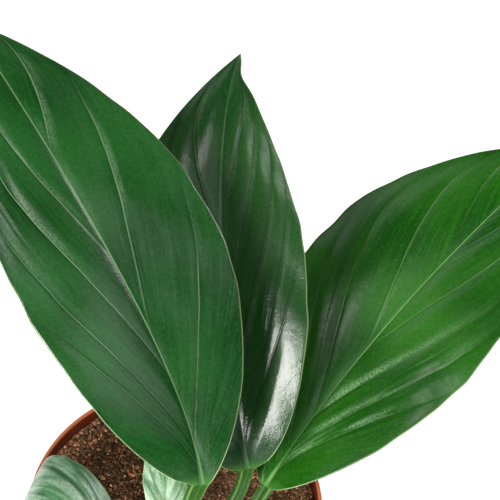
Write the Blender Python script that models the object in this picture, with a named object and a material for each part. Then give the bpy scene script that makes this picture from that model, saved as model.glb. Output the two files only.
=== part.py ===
"""A potted philodendron: a turned plastic nursery pot filled with soil, and a young plant in it.

Lengths are in millimetres and angles in degrees; each mesh becomes metres as it is made.
+Z is up, and the origin is the middle of the pot's underside. The plant faces -Y.
"""
import math

import bmesh
import bpy
import numpy as np

MM = 0.001
GAP = 0.3

# Pot
POT_HEIGHT = 88.0
RIM_RADIUS = 52.5
FOOT_RADIUS = 37.5
WALL = 1.2
FLOOR = 2.0
COLLAR_HEIGHT = 15.0
COLLAR_STEP = 1.4
LIP_ROUND = 0.6
LIP_STEPS = 6
FLOOR_ROUND = 1.5
FOOT_ROUND = 1.0
POT_SIDES = 64
DRAIN_HOLES = 8
DRAIN_SIDES = 20
DRAIN_RADIUS = 4.0
DRAIN_CIRCLE = 27.0
CHANNEL_WIDTH = 4.0
CHANNEL_DEPTH = 1.0
CUT_PAST = 3.0

# Soil
SOIL_TOP = 84.0
SOIL_SIDES = 48
SOIL_RINGS = 8
SOIL_UNEVEN = 1.1
SOIL_DIP = 1.6

# Stem, which stands in a hole in the soil
STEM_PATH = ((7, -24, 66), (7, -24, 86), (7.5, -24.5, 98), (9, -25, 111))
STEM_RADIUS = 5.0
STEM_TIP_RADIUS = 1.6
STEM_TIP_START = 0.75
STEM_TAPER = 0.6
STEM_SIDES = 16
STEM_STEPS = 16
STEM_SCARS = 4
SCAR_HEIGHT = 0.5

# Leaf stalks
STALK_SIDES = 10
STALK_STEPS = 14
STALK_DEPTH = 0.85
STALK_GROOVE = 0.3
STALK_FLARE = 0.3
STALK_JOINT = 0.9
STALK_SWELLING = 0.08
STALK_LEAD = 1.2

# Blades
BLADE_THICKNESS = 0.8
KEEL_DEPTH = 2.0
KEEL_SHARE = 0.14
BASE_DEPTH = 0.9
BASE_HALF_WIDTH = 2.3
VEIN_LEAD = 5.0
VEIN_SPREAD = 0.55
VEIN_BEND_LOW = -0.4
VEIN_BEND_HIGH = 0.5
VEIN_BEND_FROM = 0.68
VEIN_BEND_TO = 0.84
VEIN_ROOM = 9.0

# Each leaf: midrib holds the four points of a cubic curve from the stalk to the tip. The pairs
# give the left and the right half, as seen when looking from the stalk to the tip: the widest
# half width, where along the midrib it lies, how full the base and the tip are, and the fold,
# the angle that the half rises from the midrib, near the stalk and near the tip. curl is how far
# each half bends back down on the way to its margin.
LEAVES = {
    "left": {
        "midrib": ((11, -30, 152.5), (8, -11, 185.5), (-29, 37, 226), (-67.5, 99, 235.5)),
        "half_widths": (34, 36),
        "widest": (0.47, 0.47),
        "base": (0.66, 0.92),
        "tip": (1.05, 0.86),
        "fold": ((20, 6), (38, 8)),
        "curl": 25,
        "bulge": 0.6,
        "stalk": ((9, -25, 105), (6, -36, 122)),
        "stalk_radius": 2.7,
    },
    "middle": {
        "midrib": ((26, -13, 135), (20.5, 3.5, 167), (10.5, 68, 207), (23.5, 104, 214)),
        "half_widths": (34, 28),
        "widest": (0.52, 0.45),
        "base": (0.65, 0.66),
        "tip": (1.1, 1.0),
        "fold": ((20, 6), (42, 20)),
        "curl": 25,
        "bulge": 0.6,
        "stalk": ((8, -25, 97), (13, -23, 108)),
        "stalk_radius": 2.4,
    },
    "right": {
        "midrib": ((32, -11.5, 121.5), (49, 8, 142), (89.5, 53.5, 165.5), (139, 96.5, 173.5)),
        "half_widths": (40, 35),
        "widest": (0.51, 0.46),
        "base": (0.86, 0.75),
        "tip": (0.88, 1.03),
        "fold": ((30, 15), (22, 8)),
        "curl": 25,
        "bulge": 0.6,
        "stalk": ((8, -24, 87), (19, -25, 95)),
        "stalk_radius": 2.4,
    },
    "small_front": {
        "midrib": ((-18.5, -23.5, 101), (-35, -11.5, 115), (-49, -13.5, 131), (-57.5, -9.5, 86)),
        "half_widths": (17.5, 18.8),
        "widest": (0.5, 0.55),
        "base": (0.65, 0.9),
        "tip": (1.05, 1.0),
        "fold": ((15, 5), (15, 5)),
        "curl": 20,
        "bulge": 0.4,
        "stalk": ((7, -24, 88), (-3, -29, 93)),
        "stalk_radius": 1.7,
    },
    "small_inner": {
        "midrib": ((-2.7, -12, 98), (-2.5, -3, 105), (-2.5, 8, 113), (-4, 20, 116)),
        "half_widths": (8.2, 7.6),
        "widest": (0.43, 0.43),
        "base": (0.65, 0.65),
        "tip": (1.05, 1.05),
        "fold": ((15, 5), (15, 5)),
        "curl": 20,
        "bulge": 0.4,
        "stalk": ((7, -24, 86), (3, -19, 92)),
        "stalk_radius": 1.5,
    },
}
LARGE_VEINS = 9
LARGE_ROWS_PER_VEIN = 3
LARGE_COLUMNS = 9
SMALL_VEINS = 7
SMALL_ROWS_PER_VEIN = 2
SMALL_COLUMNS = 5
SMALL_LEAVES = ("small_front", "small_inner")

# Colours are linear red, green and blue
POT_COLOUR = (0.33, 0.075, 0.028)
SOIL_COLOUR = (0.075, 0.032, 0.018)
STEM_COLOUR = (0.12, 0.24, 0.06)
STALK_COLOUR = (0.19, 0.38, 0.09)
BLADE_COLOUR = (0.025, 0.14, 0.022)


def clear_scene():
    for old in list(bpy.data.objects):
        bpy.data.objects.remove(old, do_unlink=True)


def make_material(name, colour, roughness):
    material = bpy.data.materials.new(name)
    material.use_nodes = True
    shader = material.node_tree.nodes["Principled BSDF"]
    shader.inputs["Base Color"].default_value = (*colour, 1.0)
    shader.inputs["Roughness"].default_value = roughness
    shader.inputs["Metallic"].default_value = 0.0
    return material


def make_object(name, points, faces, material, sharp_angle=40):
    """Makes a closed mesh object from points in millimetres."""
    mesh = bpy.data.meshes.new(name)
    mesh.from_pydata([tuple(float(value) * MM for value in point) for point in points], [], faces)
    shell = bmesh.new()
    shell.from_mesh(mesh)
    bmesh.ops.recalc_face_normals(shell, faces=shell.faces)
    shell.to_mesh(mesh)
    shell.free()
    mesh.shade_smooth()
    mesh.set_sharp_from_angle(angle=math.radians(sharp_angle))
    mesh.materials.append(material)
    thing = bpy.data.objects.new(name, mesh)
    bpy.context.collection.objects.link(thing)
    return thing


def make_cutter(name, points, faces):
    cutter = make_object(name, points, faces, None)
    cutter.hide_render = True
    cutter.display_type = "WIRE"
    return cutter


def cut(thing, cutter):
    """Cuts one object from another and keeps the result as the object's own mesh."""
    modifier = thing.modifiers.new("cut", "BOOLEAN")
    modifier.operation = "DIFFERENCE"
    modifier.solver = "EXACT"
    modifier.object = cutter
    bpy.context.view_layer.update()
    evaluated = thing.evaluated_get(bpy.context.evaluated_depsgraph_get())
    mesh = bpy.data.meshes.new_from_object(evaluated)
    thing.modifiers.clear()
    thing.data = mesh
    bpy.data.objects.remove(cutter, do_unlink=True)


def ring_faces(rings, sides):
    """Joins rings of points into a tube of quads, with a flat cap at each end."""
    faces = [tuple(reversed(range(sides))), tuple(range((rings - 1) * sides, rings * sides))]
    for ring in range(rings - 1):
        for side in range(sides):
            after = (side + 1) % sides
            low = ring * sides
            high = low + sides
            faces.append((low + side, low + after, high + after, high + side))
    return faces


def circle(x, y, radius, height, sides):
    turns = [2 * math.pi * side / sides for side in range(sides)]
    return [(x + radius * math.cos(turn), y + radius * math.sin(turn), height) for turn in turns]


# Curves

def cubic(points, t):
    a, b, c, d = (np.array(point, float) for point in points)
    t = np.asarray(t, float)[..., None]
    return (1 - t) ** 3 * a + 3 * (1 - t) ** 2 * t * b + 3 * (1 - t) * t ** 2 * c + t ** 3 * d


def cubic_direction(points, t):
    a, b, c, d = (np.array(point, float) for point in points)
    t = np.asarray(t, float)[..., None]
    along = (1 - t) ** 2 * (b - a) + 2 * (1 - t) * t * (c - b) + t ** 2 * (d - c)
    return along / np.linalg.norm(along, axis=-1, keepdims=True)


def midrib_length(leaf):
    steps = np.diff(cubic(leaf["midrib"], np.linspace(0, 1, 201)), axis=0)
    return np.linalg.norm(steps, axis=1).sum()


def even_parameter(points, share):
    """The curve's own parameter at each share of its length."""
    fine = np.linspace(0, 1, 201)
    steps = np.linalg.norm(np.diff(cubic(points, fine), axis=0), axis=1)
    run = np.concatenate([[0], np.cumsum(steps)])
    return np.interp(share, run / run[-1], fine)


# Pot and soil

def body_radius(z):
    """The pot's outer radius below the collar."""
    return FOOT_RADIUS + (RIM_RADIUS - COLLAR_STEP - FOOT_RADIUS) * z / POT_HEIGHT


def inner_radius(z):
    """The pot's inner radius, which steps out behind the collar."""
    step_start = POT_HEIGHT - COLLAR_HEIGHT
    step = np.clip((z - step_start) / COLLAR_STEP, 0, 1) * COLLAR_STEP
    return body_radius(z) - WALL + step


def pot_profile():
    """The pot's section as (radius, height), up the inside, over the lip and down the outside."""
    collar = POT_HEIGHT - COLLAR_HEIGHT
    inside = [
        (0, FLOOR),
        (inner_radius(FLOOR) - FLOOR_ROUND, FLOOR),
        (inner_radius(FLOOR + FLOOR_ROUND), FLOOR + FLOOR_ROUND),
        (inner_radius(collar), collar),
        (inner_radius(collar + COLLAR_STEP), collar + COLLAR_STEP),
        (inner_radius(POT_HEIGHT - LIP_ROUND), POT_HEIGHT - LIP_ROUND),
    ]
    lip_middle = RIM_RADIUS - WALL / 2
    lip = []
    for step in range(1, LIP_STEPS):
        angle = math.pi * (1 - step / LIP_STEPS)
        lip.append((lip_middle + WALL / 2 * math.cos(angle),
                    POT_HEIGHT - LIP_ROUND + LIP_ROUND * math.sin(angle)))
    outside = [
        (RIM_RADIUS, POT_HEIGHT - LIP_ROUND),
        (body_radius(collar) + COLLAR_STEP, collar),
        (body_radius(collar - COLLAR_STEP), collar - COLLAR_STEP),
        (body_radius(FOOT_ROUND), FOOT_ROUND),
        (FOOT_RADIUS - FOOT_ROUND, 0),
        (0, 0),
    ]
    return inside + lip + outside


def make_pot(material):
    """Turns the pot, then cuts the drain holes and the shallow channels under its floor."""
    mesh = bpy.data.meshes.new("pot")
    profile = [(radius * MM, 0, height * MM) for radius, height in pot_profile()]
    edges = [(point, point + 1) for point in range(len(profile) - 1)]
    mesh.from_pydata(profile, edges, [])
    mesh.materials.append(material)
    pot = bpy.data.objects.new("pot", mesh)
    bpy.context.collection.objects.link(pot)
    turn = pot.modifiers.new("turn", "SCREW")
    turn.steps = POT_SIDES
    turn.render_steps = POT_SIDES
    turn.use_merge_vertices = True
    turn.merge_threshold = 0.00005
    bpy.context.view_layer.update()
    turned = bpy.data.meshes.new_from_object(pot.evaluated_get(bpy.context.evaluated_depsgraph_get()))
    pot.modifiers.clear()
    pot.data = turned
    cut(pot, drain_hole_cutter())
    cut(pot, drain_channel_cutter())
    pot.data.shade_smooth()
    pot.data.set_sharp_from_angle(angle=math.radians(30))
    return pot


def drain_angles():
    return [2 * math.pi * (hole + 0.5) / DRAIN_HOLES for hole in range(DRAIN_HOLES)]


def drain_hole_cutter():
    """One upright post for each drain hole."""
    points = []
    faces = []
    for angle in drain_angles():
        first = len(points)
        x = DRAIN_CIRCLE * math.cos(angle)
        y = DRAIN_CIRCLE * math.sin(angle)
        for height in (-CUT_PAST, FLOOR + CUT_PAST):
            points += circle(x, y, DRAIN_RADIUS, height, DRAIN_SIDES)
        faces += [tuple(first + index for index in face) for face in ring_faces(2, DRAIN_SIDES)]
    return make_cutter("drain_hole_cutter", points, faces)


def drain_channel_cutter():
    """One low bar for each channel, from its drain hole out through the foot."""
    points = []
    faces = []
    for angle in drain_angles():
        first = len(points)
        out = np.array([math.cos(angle), math.sin(angle)])
        across = np.array([-out[1], out[0]]) * CHANNEL_WIDTH / 2
        far = FOOT_RADIUS + CUT_PAST
        for height in (-CUT_PAST, CHANNEL_DEPTH):
            for reach, side in ((DRAIN_CIRCLE, -1), (far, -1), (far, 1), (DRAIN_CIRCLE, 1)):
                corner = out * reach + across * side
                points.append((corner[0], corner[1], height))
        faces += [tuple(first + index for index in face) for face in ring_faces(2, 4)]
    return make_cutter("drain_channel_cutter", points, faces)


def soil_height(x, y):
    """The uneven top of the soil, a little lower against the pot."""
    waves = (math.sin(0.19 * x + 0.7) * math.cos(0.16 * y - 0.4)
             + 0.6 * math.sin(0.37 * x - 0.31 * y + 1.3)
             + 0.4 * math.cos(0.61 * x + 0.47 * y))
    edge = min(1.0, math.hypot(x, y) / inner_radius(SOIL_TOP))
    return SOIL_TOP + SOIL_UNEVEN * waves / 2 - SOIL_DIP * edge ** 8


def make_soil(material):
    """Soil that fills the pot, with a plain hole where the stem stands."""
    hole_x, hole_y, hole_floor = STEM_PATH[0]
    hole_radius = STEM_RADIUS + 2 * GAP
    hole_floor -= GAP
    rim = inner_radius(SOIL_TOP - SOIL_DIP - SOIL_UNEVEN) - GAP
    collar = POT_HEIGHT - COLLAR_HEIGHT
    foot = FLOOR + GAP
    points = []
    outer = [(foot, inner_radius(foot) - FLOOR_ROUND - GAP),
             (foot + FLOOR_ROUND, inner_radius(foot + FLOOR_ROUND) - GAP),
             (collar - GAP, inner_radius(collar - GAP) - GAP)]
    for height, radius in outer:
        points += circle(0, 0, radius, height, SOIL_SIDES)
    for ring in range(SOIL_RINGS):
        inward = ring / (SOIL_RINGS - 1)
        radius = rim + (hole_radius - rim) * inward
        for x, y, _ in circle(hole_x * inward, hole_y * inward, radius, 0, SOIL_SIDES):
            points.append((x, y, soil_height(x, y)))
    points += circle(hole_x, hole_y, hole_radius, hole_floor, SOIL_SIDES)
    faces = ring_faces(len(outer) + SOIL_RINGS + 1, SOIL_SIDES)
    return make_object("soil", points, faces, material, sharp_angle=50)


# Stem and stalks

def stem_radius(share):
    """The stem's radius with its leaf scars, closing to a blunt growing tip."""
    closing = max(0.0, (share - STEM_TIP_START) / (1 - STEM_TIP_START))
    radius = STEM_RADIUS + (STEM_TIP_RADIUS - STEM_RADIUS) * closing ** 1.6 - STEM_TAPER * share
    scar = math.cos(math.pi * STEM_SCARS * share) ** 16 if share < STEM_TIP_START else 0.0
    return min(radius + SCAR_HEIGHT * scar, STEM_RADIUS)


def stem_points(extra=0.0):
    points = []
    for step in range(STEM_STEPS + 1):
        share = step / STEM_STEPS
        centre = cubic(STEM_PATH, share)
        points += circle(centre[0], centre[1], stem_radius(share) + extra, centre[2], STEM_SIDES)
    return points


def make_stem(material):
    return make_object("stem", stem_points(), ring_faces(STEM_STEPS + 1, STEM_SIDES), material)


def stalk_path(leaf):
    """From inside the stem to just short of the blade, ending in line with the midrib."""
    start, bend = leaf["stalk"]
    blade_base = np.array(leaf["midrib"][0], float)
    along = cubic_direction(leaf["midrib"], 0.0)
    end = blade_base - along * GAP
    return start, bend, end - along * STALK_LEAD * leaf["stalk_radius"], end


def stalk_points(leaf):
    """Rings that are a little wider than deep, grooved above and flared where they clasp the stem."""
    path = stalk_path(leaf)
    level = np.cross(cubic_direction(leaf["midrib"], 0.0), [0, 0, 1])
    points = []
    for step in range(STALK_STEPS + 1):
        share = step / STALK_STEPS
        centre = cubic(path, share)
        along = cubic_direction(path, share)
        across = level - along * (level @ along)
        across /= np.linalg.norm(across)
        above = np.cross(across, along)
        flare = STALK_FLARE * (1 - share) ** 3
        swelling = STALK_SWELLING * math.exp(-((share - STALK_JOINT) / (1 - STALK_JOINT)) ** 2)
        size = leaf["stalk_radius"] * (1 + flare + swelling)
        for x, y, _ in circle(0, 0, size, 0, STALK_SIDES):
            groove = 1 - STALK_GROOVE * max(0.0, y / size) ** 6
            points.append(centre + groove * (across * x + above * STALK_DEPTH * y))
    return points


def make_stalk(name, leaf, material):
    """A leaf stalk, cut clear of the stem that carries it."""
    stalk = make_object(name, stalk_points(leaf), ring_faces(STALK_STEPS + 1, STALK_SIDES), material)
    cut(stalk, make_cutter("stem_cutter", stem_points(GAP), ring_faces(STEM_STEPS + 1, STEM_SIDES)))
    return stalk


# Blades

def half_width(leaf, side, t):
    """The half blade's width at each share t of the midrib. side is 0 for left, 1 for right."""
    widest = leaf["widest"][side]
    rise = np.sin(np.pi / 2 * np.clip(t / widest, 0, 1) ** leaf["base"][side])
    fall = np.cos(np.pi / 2 * np.clip((t - widest) / (1 - widest), 0, 1)) ** leaf["tip"][side]
    start = BASE_HALF_WIDTH * (1 - t)
    return start + (leaf["half_widths"][side] - start) * np.where(t < widest, rise, fall)


def blade_frame(leaf, t):
    """The midrib's point and its directions ahead, to the right and up, at each share t."""
    u = even_parameter(leaf["midrib"], t)
    ahead = cubic_direction(leaf["midrib"], u)
    right = np.cross(ahead, [0, 0, 1])
    right /= np.linalg.norm(right, axis=-1, keepdims=True)
    return cubic(leaf["midrib"], u), right, np.cross(right, ahead)


def blade_points(leaf, side, t, s, height, depth):
    """Points of a half blade, s running from the midrib to the margin.

    height stands above the blade's even surface, and depth lies under it, both square to it.
    """
    centre, right, up = blade_frame(leaf, t)
    outward = right * (1 if side else -1)
    near, far = leaf["fold"][side]
    fold = np.radians(far + (near - far) * (1 - t) ** 2)
    curl = math.radians(leaf["curl"])
    reach = half_width(leaf, side, t) * s * np.sinc(curl * s / 2 / np.pi)
    lean = fold - curl * s / 2
    surface = fold * np.minimum(1, s / KEEL_SHARE) - curl * s
    lift = (height - depth)[..., None]
    return (centre + outward * (reach * np.cos(lean))[..., None] + up * (reach * np.sin(lean))[..., None]
            + lift * (up * np.cos(surface)[..., None] - outward * np.sin(surface)[..., None]))


def vein_position(row):
    """Where a vein meets the margin, for a row number from 0 at the stalk to 1 at the tip."""
    return 1 - (1 - row ** 1.2) ** 1.8


def along_vein(margin, s):
    """The share of the midrib's length at s, on the vein that ends at that share of the margin."""
    start = 0.08 * margin + 0.92 * (1 - (1 - margin ** VEIN_LEAD) ** VEIN_SPREAD)
    rise = np.clip((margin - VEIN_BEND_FROM) / (VEIN_BEND_TO - VEIN_BEND_FROM), 0, 1)
    bend = VEIN_BEND_LOW + (VEIN_BEND_HIGH - VEIN_BEND_LOW) * rise ** 2 * (3 - 2 * rise)
    return start + (margin - start) * s * (1 + bend * (1 - s))


def vein_room(leaf, side, t, s, rows_per_vein):
    """The distance from each vein to the next, square to them, over the grid of a half blade."""
    along = midrib_length(leaf) * np.gradient(t, axis=0) * rows_per_vein
    slant = midrib_length(leaf) * np.gradient(t, axis=1) / np.gradient(s, axis=1)
    width = half_width(leaf, side, t)
    return along * width / np.hypot(width, slant)


def make_blade(name, leaf, veins, rows_per_vein, columns, material):
    """A thin closed blade whose rows follow its veins and rise between them."""
    rows = (veins + 1) * rows_per_vein
    row_share = np.arange(rows + 1) / rows
    column_share = (np.arange(columns + 1) / columns) ** 1.2
    margin, s = np.meshgrid(vein_position(row_share), column_share, indexing="ij")
    t = along_vein(margin, s)
    between = np.abs(np.sin(np.pi * row_share * (veins + 1)))[:, None]
    bulge = [leaf["bulge"] * between * np.sin(np.pi * s ** 0.8) ** 0.7
             * np.clip(vein_room(leaf, side, t, s, rows_per_vein) / VEIN_ROOM, 0, 1) for side in (0, 1)]
    keel = KEEL_DEPTH * (1 - t) * np.clip(1 - s / KEEL_SHARE, 0, 1)
    depth = BLADE_THICKNESS + keel + BASE_DEPTH * (1 - t) ** 8 * (1 - s)
    top = [blade_points(leaf, side, t, s, bulge[side], 0 * s) for side in (0, 1)]
    under = [blade_points(leaf, side, t, s, bulge[side], depth) for side in (0, 1)]
    points = []
    index = {}

    def corner(face, side, row, column):
        """The number of a grid corner: the midrib is shared by both halves, the tip by all columns."""
        if row == rows:
            column = 0
        key = (face, side if column else 0, row, column)
        if key not in index:
            index[key] = len(points)
            points.append((top, under)[face][side][row, column])
        return index[key]

    faces = []

    def add(*corners):
        if len(set(corners)) == len(corners):
            faces.append(corners)
        elif len(set(corners)) == 3:
            faces.append(tuple(dict.fromkeys(corners)))

    for side in (0, 1):
        for row in range(rows):
            for column in range(columns):
                for face in (0, 1):
                    a = corner(face, side, row, column)
                    b = corner(face, side, row + 1, column)
                    c = corner(face, side, row + 1, column + 1)
                    d = corner(face, side, row, column + 1)
                    add(a, b, d)
                    if row < rows - 1:
                        add(b, c, d)
            add(corner(0, side, row, columns), corner(0, side, row + 1, columns),
                corner(1, side, row + 1, columns), corner(1, side, row, columns))
        for column in range(columns):
            add(corner(0, side, 0, column), corner(0, side, 0, column + 1),
                corner(1, side, 0, column + 1), corner(1, side, 0, column))
    return make_object(name, points, faces, material)


def make_leaves(blade_material, stalk_material):
    for name, leaf in LEAVES.items():
        make_stalk("petiole_" + name, leaf, stalk_material)
        if name in SMALL_LEAVES:
            shape = (SMALL_VEINS, SMALL_ROWS_PER_VEIN, SMALL_COLUMNS)
        else:
            shape = (LARGE_VEINS, LARGE_ROWS_PER_VEIN, LARGE_COLUMNS)
        make_blade("leaf_" + name, leaf, *shape, blade_material)


def main():
    clear_scene()
    make_pot(make_material("pot", POT_COLOUR, 0.45))
    make_soil(make_material("soil", SOIL_COLOUR, 0.95))
    make_stem(make_material("stem", STEM_COLOUR, 0.45))
    make_leaves(make_material("blade", BLADE_COLOUR, 0.32), make_material("stalk", STALK_COLOUR, 0.4))


main()
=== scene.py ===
"""Looks of the potted philodendron: fine blades, stalks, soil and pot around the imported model.

Lengths are in millimetres and angles in degrees, and become metres as each mesh is made.
"""
import random
from math import cos, hypot, pi, radians, sin, sqrt

import bmesh
import bpy
import numpy as np
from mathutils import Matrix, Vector


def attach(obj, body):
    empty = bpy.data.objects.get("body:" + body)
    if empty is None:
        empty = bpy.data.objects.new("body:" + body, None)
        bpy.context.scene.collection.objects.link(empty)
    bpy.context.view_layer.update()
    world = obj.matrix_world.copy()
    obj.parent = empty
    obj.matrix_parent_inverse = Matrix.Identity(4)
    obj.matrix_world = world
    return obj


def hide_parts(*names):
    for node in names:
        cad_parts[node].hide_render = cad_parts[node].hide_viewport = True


MM = 0.001

# Camera, taken from the photograph's 500 x 500 frame
AIM = (26.7, 73.3, 143)
CAMERA_DISTANCE = 900
CAMERA_ELEVATION = 53.2
LENS = 182.2
SENSOR = 36

# Soft lights: name, azimuth, elevation, distance, width, height (in metres), radiance and colour
SOFTBOXES = (
    ("key", -32, 25, 1.2, 0.38, 0.8, 19, (1, 0.98, 0.96)),
    ("key_low", -32, 4, 1.2, 0.38, 0.1, 8, (1, 0.98, 0.96)),
    ("high", -46, 77, 1.3, 0.2, 0.16, 4.5, (1, 0.99, 0.97)),
    ("ceiling", 0, 74, 1.3, 0.6, 0.4, 0.5, (1, 1, 1)),
    ("right_window", 112, 38, 1.3, 0.4, 0.46, 7, (0.98, 0.99, 1)),
    ("right_wall", 51, 38, 1.5, 1.3, 1.3, 0.9, (0.96, 0.98, 1)),
    ("back_wall", -150, 54, 1.5, 0.8, 0.5, 0.7, (0.97, 0.99, 1)),
)
WORLD_GLOW = 0.06
FLOOR_GLOW = 0.78
FLOOR_REACH = 6

# Pot
POT_HEIGHT = 88
RIM_RADIUS = 52.5
FOOT_RADIUS = 37.5
WALL = 1.2
FLOOR = 2
COLLAR_HEIGHT = 15
COLLAR_STEP = 1.4
INNER_CORNER = 2
FOOT_ROUND = 1.2
DRAIN_HOLES = 8
DRAIN_RADIUS = 4
DRAIN_CIRCLE = 27
CHANNEL_WIDTH = 4
CHANNEL_DEPTH = 1
CUT_PAST = 3
POT_SIDES = 192

# Soil
SOIL_TOP = 84
SOIL_UNEVEN = 1.1
SOIL_DIP = 1.6
CLOT_HEIGHT = 0.35
GRAIN_HEIGHT = 0.22
SOIL_RINGS = 120
SOIL_SIDES = 240
CRUMBS = 7000
CHIPS = 150
FIBRES = 520

# Stem and stalks
STEM_PATH = ((7, -24, 66), (7, -24, 86), (7.5, -24.5, 98), (9, -25, 111))
STEM_RADIUS = 5
STEM_TIP_RADIUS = 1.6
STEM_TIP_START = 0.75
STEM_TAPER = 0.6
STEM_SCARS = 4
SCAR_HEIGHT = 0.5
STALK_DEPTH = 0.85
STALK_DROP = 0.7
WING_ANGLE = 40
WING_SPREAD = 11
WING_REACH = 0.1
KEEL_RUN = 18
STALK_GROOVE = 0.3
STALK_FLARE = 0.3
STALK_JOINT = 0.9
STALK_SWELLING = 0.08
STALK_LEAD = 1.2
STALK_STEPS = 90
STALK_SIDES = 60
KEEL_STEPS = 30
STEM_STEPS = 90
STEM_SIDES = 48

# Blades
BLADE_THICKNESS = 0.8
MARGIN_THICKNESS = 0.45
MARGIN_TAPER = 1.5
KEEL_DEPTH = 2
KEEL_WIDTH = (2.2, 0.88)
BASE_DEPTH = 0.9
KEEL_SHARE = 0.14
BASE_HALF_WIDTH = 2.3
MARGIN_WAVES = ((4.3, 0.007), (7.9, 0.005), (13.1, 0.003))
HOOK_PLACE = 0.95
HOOK_RUN = 0.035
VEIN_LEAD = 5
VEIN_SPREAD = 0.55
VEIN_BEND = (-0.4, 0.5)
VEIN_BEND_RANGE = (0.68, 0.84)
VEIN_ROOM = 9
VEIN_GROOVE = 0.1
VEIN_WIDTH = 0.35
VEIN_CROWDING = (1.2, 1.8)
VEIN_EVENNESS = 0.08
VEIN_OUT = 0.25
VEIN_IN = 1 / 12
VEIN_AT_RIB = 0.3
NO_VEIN = 10
RIDGE_HEIGHT = 0.22
RIDGE_WIDTH = 0.6
RIB_CHANNEL = (0.11, 0.05)
RIB_CHANNEL_WIDTH = (1.2, 0.5)
PANEL_ROOM = 14
SWELLS = ((2.3, 0.8, 0.2), (4.1, 1.3, 0.1), (7.3, 2.1, 0.05))
ROWS_PER_VEIN = 24
COLUMN_CROWDING = 1.15
LARGE_COLUMNS = 56
SMALL_COLUMNS = 40

# "midrib" and "stalk" are the control points of curves. Each other pair belongs to the left and the
# right half: "base" and "tip" are the powers of its outline before and after the widest place,
# "fold" is its angle at the base and at the tip, "creases" are the numbers of the main veins among
# all the side veins, and the strips entry says on which side of them painted sheen strips lie.
SMALL_LEAF = {
    "hook": (0, 0), "fold": ((15, 5), (15, 5)), "curl": (20, 20), "sheen_strips": (1, 1),
    "veins": 7, "vein_lead": (0.8, 0.8), "creases": ((2.4, 4.4, 6.2), (2.4, 4.4, 6.2)),
}
LEAVES = {
    "left": {
        "midrib": ((11, -30, 152.5), (8, -11, 185.5), (-29, 37, 226), (-67.5, 99, 235.5)),
        "stalk": ((8, -25, 105), (2.5, -36, 122), (5, -35, 148)), "stalk_radius": 2.8,
        "half_widths": (34, 36), "widest": (0.47, 0.47), "base": (0.66, 0.92), "tip": (1.05, 0.86),
        "wave_start": (0.13, 0.62), "hook": (0, 0), "fold": ((20, 6), (32, 2)), "curl": (25, 5),
        "bulge": (0.5, 0.06), "sheen_strips": (1, -1), "veins": 9, "vein_lead": (0.62, 1),
        "creases": ((2.3, 4.2, 6.2, 7.8), (4.5, 6.9, 8.8)),
    },
    "middle": {
        "midrib": ((26, -13, 135), (20.5, 3.5, 167), (10.5, 68, 207), (23.5, 104, 214)),
        "stalk": ((9, -25, 97), (14.5, -23, 108)), "stalk_radius": 2.4,
        "half_widths": (34, 28), "widest": (0.52, 0.45), "base": (0.65, 0.66), "tip": (1.1, 1),
        "wave_start": (0.47, 0.21), "hook": (0, 0.4), "fold": ((20, 6), (33, 11)), "curl": (25, 5),
        "bulge": (0.45, 0.4), "sheen_strips": (1, -1), "veins": 9, "vein_lead": (0.8, 0.64),
        "creases": ((2.4, 4.6, 6.6, 8.2), (3, 4.6, 6, 7.4, 8.6)),
    },
    "right": {
        "midrib": ((32, -11.5, 121.5), (49, 8, 142), (89.5, 53.5, 165.5), (139, 96.5, 173.5)),
        "stalk": ((9, -24, 87), (20, -25, 95)), "stalk_radius": 2.4,
        "half_widths": (40, 35), "widest": (0.51, 0.46), "base": (0.86, 0.75), "tip": (0.88, 1.03),
        "wave_start": (0.83, 0.35), "hook": (0, 0), "fold": ((30, 15), (17, 3)), "curl": (25, 15),
        "bulge": (0.4, 0.5), "sheen_strips": (0, 1), "veins": 9, "vein_lead": (0.8, 0.8),
        "creases": ((2.4, 4.2, 5.8, 7.2, 8.6), (2.6, 4.2, 5.8, 7.2, 8.6)),
    },
    "small_front": {
        **SMALL_LEAF,
        "midrib": ((-18.5, -23.5, 101), (-35, -11.5, 115), (-49, -13.5, 131), (-57.5, -9.5, 86)),
        "stalk": ((7, -24, 88), (-3, -29, 93)), "stalk_radius": 1.7,
        "half_widths": (17.5, 18.8), "widest": (0.5, 0.55), "base": (0.65, 0.9), "tip": (1.05, 1),
        "wave_start": (0.29, 0.71), "bulge": (0.15, 0.15),
    },
    "small_inner": {
        **SMALL_LEAF,
        "midrib": ((-2.7, -12, 98), (-2.5, -3, 105), (-2.5, 8, 113), (-4, 20, 116)),
        "stalk": ((7, -24, 86), (3, -19, 92)), "stalk_radius": 1.5,
        "half_widths": (8.2, 7.6), "widest": (0.43, 0.43), "base": (0.65, 0.65), "tip": (1.05, 1.05),
        "wave_start": (0.57, 0.09), "bulge": (0.06, 0.06),
    },
}
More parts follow.
